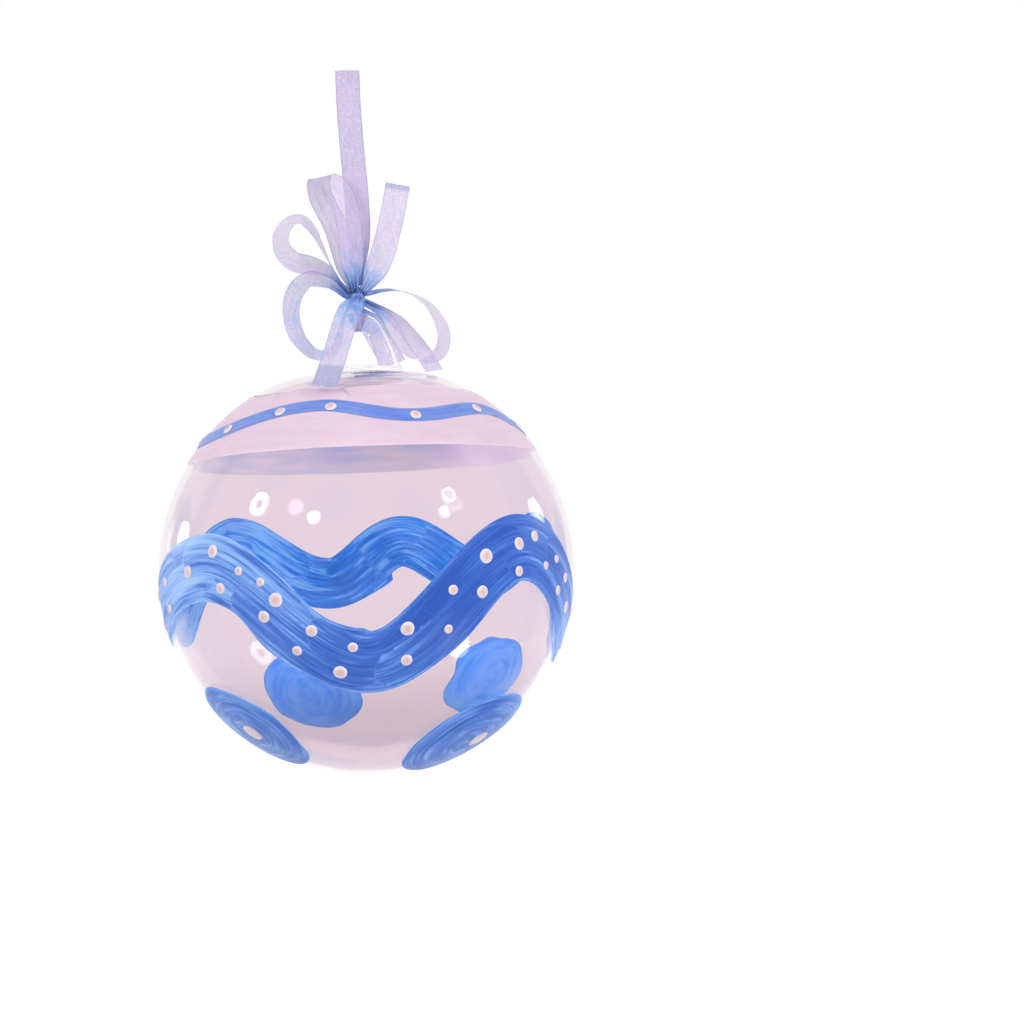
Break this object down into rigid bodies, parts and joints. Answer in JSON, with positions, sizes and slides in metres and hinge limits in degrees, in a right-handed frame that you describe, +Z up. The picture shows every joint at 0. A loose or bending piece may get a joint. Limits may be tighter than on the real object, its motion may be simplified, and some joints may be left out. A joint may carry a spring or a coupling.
{
  "type": "christmas tree ornament",
  "caption": "Hand-painted hollow blown glass ball with an applied glass eye, tied with sheer ribbon bows and hung from a doubled ribbon.",
  "frame": {"origin": "middle of the hook that the hanging ribbon's top turn goes over", "axes": "+Z up along the hanging line, +X to the right in the picture and along the hook's peg; the front, as pictured, faces -Y"},
  "size_m": [0.0881, 0.0884, 0.1521],
  "materials": {
    "clear_glass": "clear blown glass with a faint lilac cast",
    "white_paint": "thin brushed white enamel paint",
    "blue_paint": "brushed blue enamel paint with streaks",
    "spot_paint": "brushed pale blue enamel paint with streaks",
    "pale_paint": "raised pale dots of enamel paint",
    "organza": "sheer lilac organza ribbon",
    "knot_organza": "many layers of the same ribbon pulled tight, blue where they stack"
  },
  "bodies": {
    "hanger": {"ribbon_turn": "organza", "ribbon_front": "organza", "ribbon_back": "organza"},
    "bow": {"eye_wrap": "organza", "bow_knot": "knot_organza", "bow_loop_up": "organza", "bow_loop_left": "organza", "bow_loop_low": "organza", "bow_loop_right": "organza", "bow_tail_up": "organza", "bow_tail_low": "organza", "bow_tail_inner": "organza", "bow_tail_outer": "organza"},
    "ball": {"glass_ball": "clear_glass", "crown_pad": "clear_glass", "hanger_eye": "clear_glass", "white_cap": "white_paint", "cap_stripe": "blue_paint", "cap_dots": "pale_paint", "wave_band": "blue_paint", "wave_dots_upper": "pale_paint", "wave_dots_lower": "pale_paint", "spot_1": "spot_paint", "spot_2": "spot_paint", "spot_3": "spot_paint", "spot_4": "spot_paint", "spot_centre_1": "pale_paint", "spot_centre_2": "pale_paint", "spot_centre_3": "pale_paint", "spot_centre_4": "pale_paint"}
  },
  "joints": [
    {"name": "ribbon_twist", "type": "hinge", "parent": "hanger", "child": "bow", "pos_m": [0, 0, 0], "axis": [0, 0, 1], "range_deg": [-90, 90], "stiffness_Nm_per_rad": 0.00004, "deforming": ["ribbon_front", "ribbon_back"]},
    {"name": "ball_swing", "type": "hinge", "parent": "bow", "child": "ball", "pos_m": [0, 0, -0.05615], "axis": [0, 1, 0], "range_deg": [-10, 10]}
  ]
}
